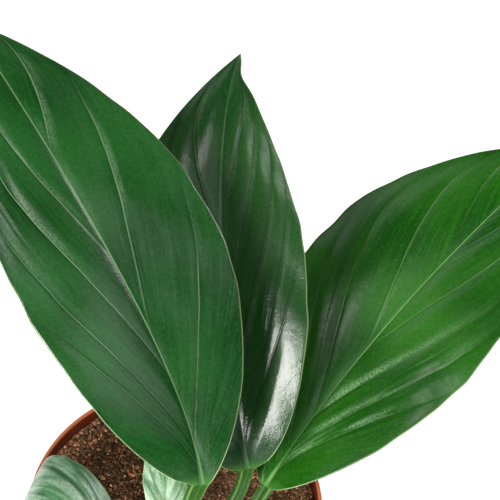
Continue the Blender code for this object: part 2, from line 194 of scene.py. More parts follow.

# Each leaf's upper side: its two greens, the colour of its vein and midrib lines, partly their own paler
# green and partly painted highlight, the colour of its painted sheen in patches and strips, how strongly
# each mark shows, the painted shade in the vein creases among them, how rough it is, up to which share
# of its length it is duller, and the painted sheen strips' start and end along it and their width in
# millimetres.
COMMON_LOOK = {"edge": 0.4, "root": 0.35, "sheen_patches": 0.04, "sheen_strip_run": (0, 1.4)}
SMALL_LOOK = {**COMMON_LOOK, "rib": 0.1, "root": 0.3, "vein": 0.1, "dull_end": 0.1, "sheen_strip_width": 4.5}
LOOKS = {
    "left": {**COMMON_LOOK, "deep": (0.002, 0.04, 0.004, 1), "fresh": (0.016, 0.106, 0.018, 1),
             "line": (0.3, 0.54, 0.24, 1), "sheen_colour": (0.26, 0.42, 0.25, 1), "rib": 0.65, "vein": 0.5,
             "crease_shade": 0.5, "rough": 0.14, "dull_end": 0.28, "sheen_strip": 0.44, "sheen_strip_run": (0.6, 1.05),
             "sheen_strip_width": 3.4},
    "middle": {**COMMON_LOOK, "deep": (0.004, 0.046, 0.006, 1), "fresh": (0.02, 0.088, 0.017, 1),
               "line": (0.2, 0.36, 0.17, 1), "sheen_colour": (0.22, 0.34, 0.2, 1), "rib": 0.2, "vein": 0.2,
               "crease_shade": 0.6, "rough": 0.13, "dull_end": 0.06, "sheen_strip": 0.34, "sheen_strip_run": (0.45, 1.1),
               "sheen_strip_width": 3},
    "right": {**COMMON_LOOK, "deep": (0.003, 0.064, 0.002, 1), "fresh": (0.026, 0.165, 0.008, 1),
              "line": (0.22, 0.46, 0.14, 1), "sheen_colour": (0.28, 0.5, 0.24, 1), "rib": 0.65, "root": 0.85,
              "vein": 0.36, "crease_shade": 0.25, "rough": 0.16, "dull_end": 0.16, "sheen_strip": 0.75,
              "sheen_strip_run": (0, 0.62), "sheen_strip_width": 4.2},
    # The small leaves' greens are paled toward white, partly their own bluish green and partly painted
    # sheen.
    "small_front": {**SMALL_LOOK, "deep": (0.055, 0.185, 0.078, 1), "fresh": (0.095, 0.27, 0.115, 1),
                    "line": (0.1, 0.28, 0.07, 1), "sheen_colour": (0.56, 0.72, 0.56, 1), "edge": 0.8,
                    "crease_shade": 0.8, "rough": 0.28, "sheen_patches": 0.6, "sheen_strip": 0.95},
    "small_inner": {**SMALL_LOOK, "deep": (0.095, 0.26, 0.115, 1), "fresh": (0.16, 0.37, 0.165, 1),
                    "line": (0.06, 0.24, 0.06, 1), "sheen_colour": (0.5, 0.7, 0.48, 1),
                    "crease_shade": 0.4, "rough": 0.34, "sheen_patches": 0.75, "sheen_strip": 0.3},
}

# The values that a blade's mesh holds in each UV layer, the distances in units of MAP_SPAN millimetres
BLADE_LAYERS = {
    "veins": ("row", "share"),
    "reach": ("from_midrib", "from_margin"),
    "near": ("from_vein", "weight"),
    "along": ("along", "past_vein"),
}
MAP_DISTANCES = ("from_midrib", "from_margin", "from_vein", "past_vein")
MAP_SPAN = 100

# Noise of the paint: scale per metre, or a pair of scales, and where they aren't the plain ones its
# detail and roughness, and for marks the range of the noise over which they rise from none to full
CLOUDS = (24, 1, 0.5, 0.3, 0.75)
STREAKS = ((110, 2.5), 3, 0.6, 0.4, 0.7)
FLECKS = (520, 3, 0.7, 0.52, 0.7)
LEAF_GRAIN = 1100
# The painted sheen's noise: its speckles, its patches and its strips
SHEEN_SPECKLES = (1500, 2, 0.5, 0.3, 0.62)
SHEEN_PATCHES = ((11, 2.5), 4, 0.6, 0.42, 0.6)
SHEEN_STRIPS = ((14, 3), 3, 0.5, 0.4, 0.66)
PATCHES = 60
GLOSS_PATCHES = (120, 3, 0.5)
STIPPLE = 2000
DIMPLES = 380
UNDER_CLOUDS = 45
UNDER_GRAIN = 1500
STALK_STREAKS = ((3, 30), 3, 0.5)
STALK_FLECKS = (1100, 1, 0.5, 0.66, 0.72)
STALK_GRAIN = 2200
SOIL_GRAIN = (1400, 4, 0.65)
POT_CLOUDS = (25, 3, 0.5)
POT_DUST = (700, 3, 0.5, 0.6, 0.75)
POT_SCUFFS = (160, 4, 0.7)
POT_GRAIN = 1800

# Lines of the paint, among them painted shade in the vein creases and vein and midrib lines that are
# partly painted highlight: the distances in millimetres where they start and stop to fade
CREASE_SHADE = (0.1, 1.1)
VEIN_LINE = (0.06, 0.34)
MARGIN_LINE = (0.12, 0.48)
# Where the painted sheen strips start beside a vein
SHEEN_STRIP_START = 0.2
RIB_LINE = 0.32
RIB_LINE_FLARE = 0.9
RIB_EDGE = (0.3, 1)
UNDER_VEIN = (0.1, 0.8)
UNDER_RIB = (0.8, 2)

# Shares of a leaf's length or half width where its marks change
BASE_RUN = 0.1
FOOT_RUN = 0.03
# Over which the painted sheen strips fade in and out along the leaf
SHEEN_STRIP_FADE = 0.3
PALE_FROM = (0.1, 0.55)
VEIN_FADE = (0.5, 0.95)

# Angles round a stalk over which its lines and its painted groove shade fade, and heights in the pot
# where its painted lip highlight begins
STALK_LINE = (2, 14)
LIP_HIGHLIGHT_RANGE = (0.984, 0.994)
TURNING_RINGS = 90

# Colours of the paint
MARGIN_GREEN = (0.5, 0.62, 0.3, 1)
FOOT_GREEN = (0.06, 0.2, 0.03, 1)
UNDER_GREENS = ((0.045, 0.17, 0.03, 1), (0.085, 0.25, 0.05, 1))
UNDER_VEIN_GREEN = (0.16, 0.36, 0.09, 1)
UNDER_RIB_GREEN = (0.19, 0.4, 0.1, 1)
STEM_GREENS = ((0.09, 0.13, 0.045, 1), (0.1, 0.22, 0.05, 1))
STALK_GREENS = ((0.015, 0.062, 0.003, 1), (0.021, 0.088, 0.004, 1))
STALK_EDGE_GREEN = (0.17, 0.37, 0.08, 1)
# Painted shade along the stalk's top groove
STALK_GROOVE_SHADE = (0.05, 0.16, 0.03, 1)
STALK_FLECK = (0.45, 0.55, 0.25, 1)
SOIL_BROWNS = ((0.08, 0.032, 0.016, 1), (0.68, 0.375, 0.225, 1))
POT_REDS = ((0.36, 0.066, 0.02, 1), (0.47, 0.1, 0.03, 1))
# Painted shade over the pot's inside
POT_INSIDE_SHADE = (0.1, 0.014, 0.005, 1)
# A painted highlight along the top of the pot's outer lip
POT_LIP_HIGHLIGHT = (0.66, 0.19, 0.08, 1)
DUST = (0.07, 0.03, 0.018, 1)

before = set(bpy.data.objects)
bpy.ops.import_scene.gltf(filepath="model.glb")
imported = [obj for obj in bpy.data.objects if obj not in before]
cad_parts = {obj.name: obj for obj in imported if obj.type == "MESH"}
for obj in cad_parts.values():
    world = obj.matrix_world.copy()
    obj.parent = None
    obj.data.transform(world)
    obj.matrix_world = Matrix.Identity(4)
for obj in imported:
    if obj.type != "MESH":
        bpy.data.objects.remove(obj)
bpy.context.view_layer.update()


# Camera, lights and floor

def view_direction(azimuth, elevation):
    """A unit vector from the subject; azimuth 0 is towards -Y and turns towards +X."""
    a = radians(azimuth)
    e = radians(elevation)
    return Vector((sin(a) * cos(e), -cos(a) * cos(e), sin(e)))


def add_object(name, data):
    made = bpy.data.objects.new(name, data)
    bpy.context.collection.objects.link(made)
    return made


def make_camera():
    data = bpy.data.cameras.new("camera")
    data.lens = LENS
    data.sensor_width = SENSOR
    camera = add_object("camera", data)
    camera.location = (Vector(AIM) + view_direction(0, CAMERA_ELEVATION) * CAMERA_DISTANCE) * MM
    camera.rotation_euler = (radians(90 - CAMERA_ELEVATION), 0, 0)
    bpy.context.scene.camera = camera


def make_softbox(name, azimuth, elevation, distance, width, height, radiance, colour):
    """An area light that faces the plant, given the brightness of its face."""
    data = bpy.data.lights.new(name, "AREA")
    data.shape = "RECTANGLE"
    data.size = width
    data.size_y = height
    data.energy = radiance * pi * width * height
    data.color = colour
    light = add_object(name, data)
    away = view_direction(azimuth, elevation)
    light.location = Vector(AIM) * MM + away * distance
    light.rotation_euler = away.to_track_quat("Z", "Y").to_euler()


def make_world():
    """A pale room, seen white by the camera and softer in the leaves' reflections."""
    world = bpy.data.worlds.new("studio")
    bpy.context.scene.world = world
    world.use_nodes = True
    tree = world.node_tree
    tree.nodes.clear()
    path = tree.nodes.new("ShaderNodeLightPath")
    mix = tree.nodes.new("ShaderNodeMixShader")
    tree.links.new(path.outputs["Is Camera Ray"], mix.inputs[0])
    for place, glow in ((1, WORLD_GLOW), (2, 1.0)):
        light = tree.nodes.new("ShaderNodeBackground")
        light.inputs["Color"].default_value = (1, 1, 1, 1)
        light.inputs["Strength"].default_value = glow
        tree.links.new(light.outputs[0], mix.inputs[place])
    output = tree.nodes.new("ShaderNodeOutputWorld")
    tree.links.new(mix.outputs[0], output.inputs[0])


def make_floor():
    """A wide white table that glows a little, as a light table does."""
    mesh = bpy.data.meshes.new("floor")
    corners = [(FLOOR_REACH * x, FLOOR_REACH * y, 0) for x, y in ((-1, -1), (1, -1), (1, 1), (-1, 1))]
    mesh.from_pydata(corners, [], [(0, 1, 2, 3)])
    paint = Paint("floor_white", 0.9)
    paint.feed("Base Color", (0.86, 0.86, 0.86, 1))
    paint.feed("Emission Color", (1, 1, 1, 1))
    paint.feed("Emission Strength", FLOOR_GLOW)
    mesh.materials.append(paint.material)
    floor = add_object("floor", mesh)


# Materials

class Paint:
    """A material with one Principled shader, and calls that add nodes before it."""

    def __init__(self, name, roughness):
        self.material = bpy.data.materials.new(name)
        self.material.use_nodes = True
        self.tree = self.material.node_tree
        self.shader = self.tree.nodes["Principled BSDF"]
        self.feed("Roughness", roughness)

    def put(self, node, inputs):
        """Sets the node's inputs, or links those that come from another node."""
        for key, value in inputs.items():
            if isinstance(value, bpy.types.NodeSocket):
                self.tree.links.new(value, node.inputs[key])
            elif value is not None:
                node.inputs[key].default_value = value

    def feed(self, name, value):
        self.put(self.shader, {name: value})

    def node(self, kind, inputs, **settings):
        """Adds a node and hands back its outputs."""
        made = self.tree.nodes.new("ShaderNode" + kind)
        for key, value in settings.items():
            setattr(made, key, value)
        self.put(made, inputs)
        return made.outputs

    def math(self, operation, a, b=0.0, c=0.0):
        return self.node("Math", {0: a, 1: b, 2: c}, operation=operation)[0]

    def times(self, *values):
        product, *others = values
        for value in others:
            product = self.math("MULTIPLY", product, value)
        return product

    def scaled(self, value, factor, start):
        """The value times the factor, and the start added."""
        return self.math("MULTIPLY_ADD", value, factor, start)

    def smooth(self, value, low, high):
        """Rises smoothly from 0 at low to 1 at high."""
        return self.node("MapRange", {"Value": value, "From Min": low, "From Max": high},
                         interpolation_type="SMOOTHSTEP")[0]

    def fade(self, value, low, high):
        """Falls smoothly from 1 at low to 0 at high."""
        return self.math("SUBTRACT", 1.0, self.smooth(value, low, high))

    def mix(self, factor, a, b):
        """Indices 6 and 7 are the two colours of a colour mix."""
        return self.node("Mix", {0: factor, 6: a, 7: b}, data_type="RGBA")[2]

    def cover(self, colour, other, *shares):
        """Mixes the other colour in by the product of the shares."""
        return self.mix(self.times(*shares), colour, other)

    def shade(self, colour, factor):
        """Multiplies a colour by a number."""
        return self.node("VectorMath", {0: colour, "Scale": factor}, operation="SCALE")[0]

    def uv(self, name):
        parts = self.node("SeparateXYZ", {0: self.node("UVMap", {}, uv_map=name)[0]})
        return parts[0], parts[1]

    def blade(self, name):
        """One of the values that a blade's mesh holds, with distances back in millimetres."""
        layer = next(layer for layer, names in BLADE_LAYERS.items() if name in names)
        value = self.uv(layer)[BLADE_LAYERS[layer].index(name)]
        return self.times(value, MAP_SPAN) if name in MAP_DISTANCES else value

    def place(self):
        return self.node("TexCoord", {})["Object"]

    def noise(self, where, scale, detail=2.0, roughness=0.5):
        """Noise at a place, or at a pair of values, each with a scale of its own."""
        if isinstance(where, tuple):
            pair = {index: self.times(where[index], scale[index]) for index in (0, 1)}
            where = self.node("CombineXYZ", pair)[0]
            scale = 1.0
        inputs = {"Vector": where, "Scale": scale, "Detail": detail, "Roughness": roughness}
        return self.node("TexNoise", inputs)["Fac"]

    def marks(self, where, pattern):
        return self.smooth(self.noise(where, *pattern[:3]), *pattern[3:])

    def relief(self, *bumps):
        """Lays bumps over one another: for each its height, its depth in metres and its strength."""
        normal = None
        for height, depth, strength in bumps:
            inputs = {"Height": height, "Distance": depth, "Strength": strength, "Normal": normal}
            normal = self.node("Bump", inputs)[0]
        self.feed("Normal", normal)


def leaf_ground(paint, look):
    """Two greens in clouds, streaked along the veins and flecked, lighter toward the tip."""
    place = paint.place()
    streaks = paint.marks((paint.blade("row"), paint.blade("share")), STREAKS)
    colour = paint.mix(paint.marks(place, CLOUDS), look["deep"], look["fresh"])
    colour = paint.cover(colour, look["fresh"], streaks, 0.5)
    colour = paint.cover(colour, look["fresh"], paint.marks(place, FLECKS), 0.4)
    colour = paint.shade(colour, paint.scaled(paint.noise(place, LEAF_GRAIN), 0.95, 0.52))
    return paint.shade(colour, paint.scaled(paint.blade("along"), 0.4, 0.8))


def leaf_painted_sheen(paint, look, colour):
    """Painted sheen: a sprinkled pale veil in patches, and sprinkled pale strips beside the main veins.
    """
    veins = (paint.blade("row"), paint.blade("share"))
    along = paint.blade("along")
    sheen_speckle = paint.marks(paint.place(), SHEEN_SPECKLES)
    # Painted sheen in patches
    colour = paint.cover(colour, look["sheen_colour"], paint.marks(veins, SHEEN_PATCHES),
                         paint.scaled(sheen_speckle, 0.5, 0.5), look["sheen_patches"])
    # Painted highlight in strips beside the main veins
    beside = paint.fade(paint.blade("past_vein"), SHEEN_STRIP_START, look["sheen_strip_width"])
    start, end = look["sheen_strip_run"]
    after = paint.smooth(along, start - SHEEN_STRIP_FADE, start)
    before = paint.fade(along, end - SHEEN_STRIP_FADE, end)
    return paint.cover(colour, look["sheen_colour"], beside, paint.marks(veins, SHEEN_STRIPS), look["sheen_strip"],
                       paint.scaled(sheen_speckle, 0.8, 0.2), after, before, paint.blade("weight"))


def leaf_lines(paint, look, colour):
    """Painted shade in the vein creases, and pale vein and midrib lines, partly painted highlight."""
    along = paint.blade("along")
    weight = paint.blade("weight")
    from_vein = paint.blade("from_vein")
    # Painted shade in the creases at the main veins
    colour = paint.cover(colour, paint.shade(colour, 0.35), paint.fade(from_vein, *CREASE_SHADE), weight,
                         look["crease_shade"])
    later = paint.smooth(along, *PALE_FROM)
    patches = paint.scaled(paint.noise(paint.place(), PATCHES), 1.4, 0.2)
    # Pale vein lines, partly the veins' own paler green and partly painted highlight
    colour = paint.cover(colour, look["line"], paint.fade(from_vein, *VEIN_LINE), weight,
                         paint.scaled(later, 0.9, 0.15), paint.fade(paint.blade("share"), *VEIN_FADE),
                         look["vein"], patches)
    # The pale midrib line, partly its own paler green and partly painted highlight
    near_base = paint.fade(along, 0.0, BASE_RUN)
    rib_width = paint.scaled(near_base, RIB_LINE_FLARE, RIB_LINE)
    rib = paint.fade(paint.math("DIVIDE", paint.blade("from_midrib"), rib_width), *RIB_EDGE)
    strength = paint.math("MAXIMUM", paint.times(near_base, look["root"]),
                          paint.times(paint.scaled(later, 0.6, 0.4), look["rib"]))
    return paint.cover(colour, look["line"], rib, strength)


def leaf_ends(paint, look, colour):
    """The thin pale margin, and the light green where the stalk comes in."""
    along = paint.blade("along")
    near_base = paint.fade(along, 0.0, BASE_RUN)
    strength = paint.math("MINIMUM", 1.0, paint.scaled(near_base, 0.45, look["edge"]))
    margin = paint.fade(paint.blade("from_margin"), *MARGIN_LINE)
    colour = paint.cover(colour, MARGIN_GREEN, margin, strength)
    return paint.cover(colour, FOOT_GREEN, paint.fade(along, 0.0, FOOT_RUN), 0.6)


def leaf_gloss(paint, look):
    """An uneven gloss that dulls toward the stalk, on a finely stippled and dimpled skin."""
    place = paint.place()
    paint.feed("Roughness", paint.scaled(paint.noise(place, *GLOSS_PATCHES), 0.1, look["rough"]))
    shine = paint.smooth(paint.blade("along"), look["dull_end"] / 5, look["dull_end"])
    paint.feed("Specular IOR Level", paint.scaled(shine, 0.5, 0.1))
    paint.relief((paint.noise(place, STIPPLE), 0.0001, 0.26), (paint.noise(place, DIMPLES), 0.0002, 0.3))


def leaf_top_material(name, look):
    paint = Paint(name, 0.3)
    colour = leaf_ground(paint, look)
    colour = leaf_painted_sheen(paint, look, colour)
    colour = leaf_lines(paint, look, colour)
    paint.feed("Base Color", leaf_ends(paint, look, colour))
    leaf_gloss(paint, look)
    return paint.material


def leaf_under_material():
    """The paler, duller underside, with its ribs raised and light."""
    paint = Paint("leaf_under", 0.5)
    place = paint.place()
    colour = paint.mix(paint.noise(place, UNDER_CLOUDS), *UNDER_GREENS)
    vein = paint.fade(paint.blade("from_vein"), *UNDER_VEIN)
    colour = paint.cover(colour, UNDER_VEIN_GREEN, vein, paint.blade("weight"), 0.7)
    rib = paint.fade(paint.blade("from_midrib"), *UNDER_RIB)
    paint.feed("Base Color", paint.mix(rib, colour, UNDER_RIB_GREEN))
    paint.relief((paint.noise(place, UNDER_GRAIN), 0.00012, 0.5))
    return paint.material


def stalk_material(name, greens):
    """Light green, streaked, with pale thin edges, a painted shade line in the top groove and small pale
    flecks.
    """
    paint = Paint(name, 0.42)
    paint.feed("Specular IOR Level", 0.2)
    place = paint.place()
    along, around = paint.uv("stalk")
    streak = paint.noise((along, around), *STALK_STREAKS)
    colour = paint.shade(paint.mix(along, *greens), paint.scaled(streak, 0.7, 0.65))
    turn = paint.times(around, 360.0)
    # The line at 90 degrees is painted shade in the top groove
    for angle, strength, green in ((WING_ANGLE, 0.55, STALK_EDGE_GREEN),
                                   (180 - WING_ANGLE, 0.55, STALK_EDGE_GREEN),
                                   (90, 0.5, STALK_GROOVE_SHADE)):
        off = paint.math("ABSOLUTE", paint.math("SUBTRACT", turn, angle))
        colour = paint.cover(colour, green, paint.fade(off, *STALK_LINE), strength)
    paint.feed("Base Color", paint.cover(colour, STALK_FLECK, paint.marks(place, STALK_FLECKS), 0.25))
    paint.relief((streak, 0.0002, 0.4), (paint.noise(place, STALK_GRAIN), 0.0001, 0.2))
    return paint.material


def soil_material():
    """Crumbs tinted one by one, rough and a little fibrous."""
    paint = Paint("soil_crumbs", 0.92)
    paint.feed("Specular IOR Level", 0.25)
    tint = paint.node("VertexColor", {}, layer_name="tint")["Color"]
    grain = paint.noise(paint.place(), *SOIL_GRAIN)
    colour = paint.mix(paint.smooth(grain, 0.3, 0.75), *SOIL_BROWNS)
    paint.feed("Base Color", paint.node("VectorMath", {0: colour, 1: tint}, operation="MULTIPLY")[0])
    paint.relief((grain, 0.0006, 0.9))
    return paint.material


def pot_material():
    """Thin moulded plastic with a faint grain, scuffs, painted shade and soil dust inside, and a painted
    lip highlight.
    """
    paint = Paint("pot_plastic", 0.42)
    place = paint.place()
    inward, height = paint.uv("pot")
    colour = paint.mix(paint.noise(place, *POT_CLOUDS), *POT_REDS)
    # Painted shade over the pot's inside
    colour = paint.cover(colour, POT_INSIDE_SHADE, inward, 0.95)
    outward = paint.math("SUBTRACT", 1.0, inward)
    # A painted highlight along the top of the outer lip
    colour = paint.cover(colour, POT_LIP_HIGHLIGHT, paint.smooth(height, *LIP_HIGHLIGHT_RANGE), outward, 0.8)
    paint.feed("Base Color", paint.cover(colour, DUST, paint.marks(place, POT_DUST), inward, 0.6))
    paint.feed("Roughness", paint.scaled(paint.noise(place, *POT_SCUFFS), 0.25, 0.28))
    rings = paint.math("SINE", paint.times(height, 2 * pi * TURNING_RINGS))
    paint.relief((paint.noise(place, POT_GRAIN), 0.00005, 0.4), (rings, 0.00002, 0.25))
    return paint.material


# Meshes

def make_piece(name, points, faces, materials, smooth=True):
    """A mesh object from points in millimetres."""
    mesh = bpy.data.meshes.new(name)
    mesh.from_pydata((np.asarray(points, float) * MM).tolist(), [], faces)
    for material in materials:
        mesh.materials.append(material)
    if smooth:
        mesh.shade_smooth()
    return add_object(name, mesh)


def finish_piece(piece, node):
    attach(piece, "root")
    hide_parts(node)


def add_uv(piece, name, values):
    """Gives each corner of the mesh its point's pair of numbers."""
    mesh = piece.data
    corners = np.empty(len(mesh.loops), int)
    mesh.loops.foreach_get("vertex_index", corners)
    layer = mesh.uv_layers.new(name=name)
    layer.data.foreach_set("uv", np.asarray(values, np.float32)[corners].ravel())


def face_outward(piece):
    shell = bmesh.new()
    shell.from_mesh(piece.data)
    bmesh.ops.recalc_face_normals(shell, faces=shell.faces)
    shell.to_mesh(piece.data)
    shell.free()


def ring_faces(rings, sides, caps=True):
    faces = []
    for ring in range(rings - 1):
        for side in range(sides):
            after = (side + 1) % sides
            low = ring * sides
            high = low + sides
            faces.append((low + side, low + after, high + after, high + side))
    if caps:
        faces.append(tuple(reversed(range(sides))))
        faces.append(tuple(range((rings - 1) * sides, rings * sides)))
    return faces


def joined(shapes):
    """The points and faces of many shapes as those of one."""
    points = []
    faces = []
    for shape_points, shape_faces in shapes:
        first = len(points)
        points += shape_points
        faces += [tuple(first + index for index in face) for face in shape_faces]
    return points, faces


def circle(x, y, radius, height, sides):
    turns = [2 * pi * side / sides for side in range(sides)]
    return [(x + radius * cos(turn), y + radius * sin(turn), height) for turn in turns]


# Curves

def bell(distance, width):
    """1 at no distance, falling on both sides like a bell."""
    return np.exp(-(distance / width) ** 2)


def smooth_step(value):
    """Rises smoothly from 0 to 1."""
    value = np.clip(value, 0, 1)
    return value * value * (3 - 2 * value)


def between(ends, t):
    """A value that changes evenly from the first end to the second one."""
    first, second = ends
    return first + (second - first) * t


def unit(vectors):
    return vectors / np.linalg.norm(vectors, axis=-1, keepdims=True)


def curve_terms(points, t):
    return (*np.array(points, float), np.asarray(t, float)[..., None])


def cubic(points, t):
    a, b, c, d, t = curve_terms(points, t)
    return (1 - t) ** 3 * a + 3 * (1 - t) ** 2 * t * b + 3 * (1 - t) * t ** 2 * c + t ** 3 * d


def cubic_direction(points, t):
    a, b, c, d, t = curve_terms(points, t)
    return unit((1 - t) ** 2 * (b - a) + 2 * (1 - t) * t * (c - b) + t ** 2 * (d - c))


def run_along(points):
    """Even parameters on a curve, and the length of the curve up to each."""
    fine = np.linspace(0, 1, 201)
    steps = np.linalg.norm(np.diff(cubic(points, fine), axis=0), axis=1)
    return fine, np.concatenate([[0], np.cumsum(steps)])


# Blades

def margin_wave(leaf, side, t):
    """The slow shallow waves of a margin, as a share of the half width."""
    start = leaf["wave_start"][side]
    wave = sum(size * np.sin(2 * pi * count * (t + start)) for count, size in MARGIN_WAVES)
    return wave * np.sin(pi * t)


def half_width(leaf, side, t):
    widest = leaf["widest"][side]
    rise = np.sin(pi / 2 * np.clip(t / widest, 0, 1) ** leaf["base"][side])
    fall = np.cos(pi / 2 * np.clip((t - widest) / (1 - widest), 0, 1)) ** leaf["tip"][side]
    start = BASE_HALF_WIDTH * (1 - t)
    width = start + (leaf["half_widths"][side] - start) * np.where(t < widest, rise, fall)
    hook = leaf["hook"][side] * bell(t - HOOK_PLACE, HOOK_RUN)
    return width * (1 + margin_wave(leaf, side, t)) * (1 - hook)


def blade_frame(leaf, t):
    """The midrib's point and its directions ahead, to the right and up, at each share t."""
    fine, run = run_along(leaf["midrib"])
    u = np.interp(t, run / run[-1], fine)
    ahead = cubic_direction(leaf["midrib"], u)
    right = unit(np.cross(ahead, [0, 0, 1]))
    return cubic(leaf["midrib"], u), right, np.cross(right, ahead)


def blade_points(leaf, side, t, s, lift):
    """Points of a half blade, s running from the midrib to the margin, lifted square to it."""
    centre, right, up = blade_frame(leaf, t)
    outward = right * (1 if side else -1)
    near, far = leaf["fold"][side]
    fold = np.radians(far + (near - far) * (1 - t) ** 2)
    curl = radians(leaf["curl"][side])
    reach = half_width(leaf, side, t) * s * np.sinc(curl * s / 2 / pi)
    lean = fold - curl * s / 2
    surface = fold * np.minimum(1, s / KEEL_SHARE) - curl * s
    return (centre + outward * (reach * np.cos(lean))[..., None] + up * (reach * np.sin(lean))[..., None]
            + lift[..., None] * (up * np.cos(surface)[..., None] - outward * np.sin(surface)[..., None]))


def vein_position(row):
    """Where a side vein ends on the margin: they crowd toward the tip."""
    return 1 - (1 - row ** VEIN_CROWDING[0]) ** VEIN_CROWDING[1]


def along_vein(margin, s, lead):
    """The share of the midrib's length at s, on the vein that ends at that share of the margin.

    lead under 1 lets the veins of that half run further forward before they meet the margin.
    """
    start = between((1 - (1 - margin ** VEIN_LEAD) ** VEIN_SPREAD, margin), VEIN_EVENNESS)
    low, high = VEIN_BEND_RANGE
    bend = between(VEIN_BEND, smooth_step((margin - low) / (high - low)))
    return start + (margin ** lead - start) * s * (1 + bend * (1 - s))


def undulation(t, s, side, seed):
    """A slow uneven swell of the blade, in millimetres."""
    phase = random.Random(seed)
    swell = 0
    for waves_along, waves_across, size in SWELLS:
        waves = waves_along * t + waves_across * s * (2 * side - 1) + phase.random()
        swell = swell + size * np.sin(2 * pi * waves)
    return swell * np.sin(pi * np.clip(t, 0, 1)) * s


def pleats(creases, veins, number, room, seed):
    """Panels that bow up between the main veins, each a little to one side, from 0 to 1."""
    skew = random.Random(seed)
    ends = (0, *creases, veins + 1)
    rise = 0 * room
    for low, high in zip(ends, ends[1:]):
        lean = skew.uniform(0.7, 1.4)
        inside = np.clip((number - low) / (high - low), 0, 1)
        wide = np.clip((high - low) * room / PANEL_ROOM, 0, 1)
        rise = rise + np.sin(pi * inside ** lean) ** 0.9 * wide
    return rise


def blade_grid(leaf, side, columns):
    """Shares along and across a half, vein numbers, the room between veins and the width."""
    veins = leaf["veins"]
    rows = (veins + 1) * ROWS_PER_VEIN
    row_share = np.arange(rows + 1) / rows
    column_share = (np.arange(columns + 1) / columns) ** COLUMN_CROWDING
    margin, s = np.meshgrid(vein_position(row_share), column_share, indexing="ij")
    t = along_vein(margin, s, leaf["vein_lead"][side])
    number = row_share[:, None] * (veins + 1) + 0 * s
    length = run_along(leaf["midrib"])[1][-1]
    along = length * np.gradient(t, axis=0) * ROWS_PER_VEIN
    slant = length * np.gradient(t, axis=1) / np.gradient(s, axis=1)
    width = half_width(leaf, side, t)
    return t, s, number, along * width / np.hypot(width, slant), width


def vein_distances(leaf, side, number, room, from_midrib):
    """Distances to the nearest main vein, and to the nearest one with a painted sheen strip beside it.
    """
    creases = leaf["creases"][side]
    beside = leaf["sheen_strips"][side]
    from_vein = np.min([np.abs(number - crease_shade) * room for crease_shade in creases], axis=0)
    gaps = [(number - crease_shade) * room * beside for crease_shade in creases]
    past_vein = np.min([np.where(gap > 0, gap, NO_VEIN) for gap in gaps], axis=0)
    if beside < 0:
        past_vein = np.minimum(past_vein, from_midrib)
    return from_vein, past_vein


def half_blade(leaf, side, columns, seed):
    """One half's points above and below, and the values that its paint needs."""
    t, s, number, room, width = blade_grid(leaf, side, columns)
    from_midrib = width * s
    from_margin = width * (1 - s)
    from_vein, past_vein = vein_distances(leaf, side, number, room, from_midrib)
    weight = np.clip((1 - s) / VEIN_OUT, 0, 1) * np.clip(s / VEIN_IN, VEIN_AT_RIB, 1)
    roomy = np.clip(room / VEIN_ROOM, 0, 1)
    panels = pleats(leaf["creases"][side], leaf["veins"], number, room, seed * 2 + side)
    bulge = leaf["bulge"][side] * panels * np.sin(pi * s ** 0.8) ** 0.7
    middle = bulge + undulation(t, s, side, seed)
    groove = VEIN_GROOVE * weight * bell(from_vein, VEIN_WIDTH) * roomy
    channel = between(RIB_CHANNEL, t) * bell(from_midrib, between(RIB_CHANNEL_WIDTH, t))
    keel = KEEL_DEPTH * (1 - t) * bell(from_midrib, between(KEEL_WIDTH, t))
    ridge = RIDGE_HEIGHT * weight * bell(from_vein, RIDGE_WIDTH) * roomy
    inward = np.clip(from_margin / MARGIN_TAPER, 0, 1)
    thick = between((MARGIN_THICKNESS, BLADE_THICKNESS), inward) + keel + ridge
    thick = thick + BASE_DEPTH * (1 - t) ** 8 * (1 - s)
    values = {"row": number / 10, "share": s, "from_midrib": from_midrib, "from_margin": from_margin,
              "from_vein": from_vein, "weight": weight, "along": t, "past_vein": past_vein}
    for name in MAP_DISTANCES:
        values[name] = values[name] / MAP_SPAN
    half = {}
    for layer, names in BLADE_LAYERS.items():
        half[layer] = np.stack([values[name] for name in names], -1)
    half["top"] = blade_points(leaf, side, t, s, middle - groove - channel)
    half["under"] = blade_points(leaf, side, t, s, middle - thick)
    return half


def across_blade(halves, key):
    """Joins the two halves into rows that run from the left margin to the right one."""
    left = halves[0][key][:, :0:-1]
    return np.concatenate([left, halves[1][key]], axis=1)


def with_tip(grid):
    """All rows but the last as they are, and the last as the one point of the tip."""
    middle = grid.shape[1] // 2
    return np.concatenate([grid[:-1].reshape(-1, grid.shape[2]), grid[-1:, middle]])


def blade_faces(rows, wide, first, turn):
    """One side of a blade, a fan at the tip; a turn of -1 makes the faces look the other way."""
    tip = first + rows * wide
    faces = []
    middle = (wide - 1) // 2
    for row in range(rows - 1):
        for column in range(wide - 1):
            a = first + row * wide + column
            b = a + 1
            c = b + wide
            d = a + wide
            pair = ((a, b, c), (a, c, d)) if column < middle else ((a, b, d), (b, c, d))
            faces += [corner[::turn] for corner in pair]
    last = first + (rows - 1) * wide
    for column in range(wide - 1):
        faces.append((last + column, last + column + 1, tip)[::turn])
    return faces


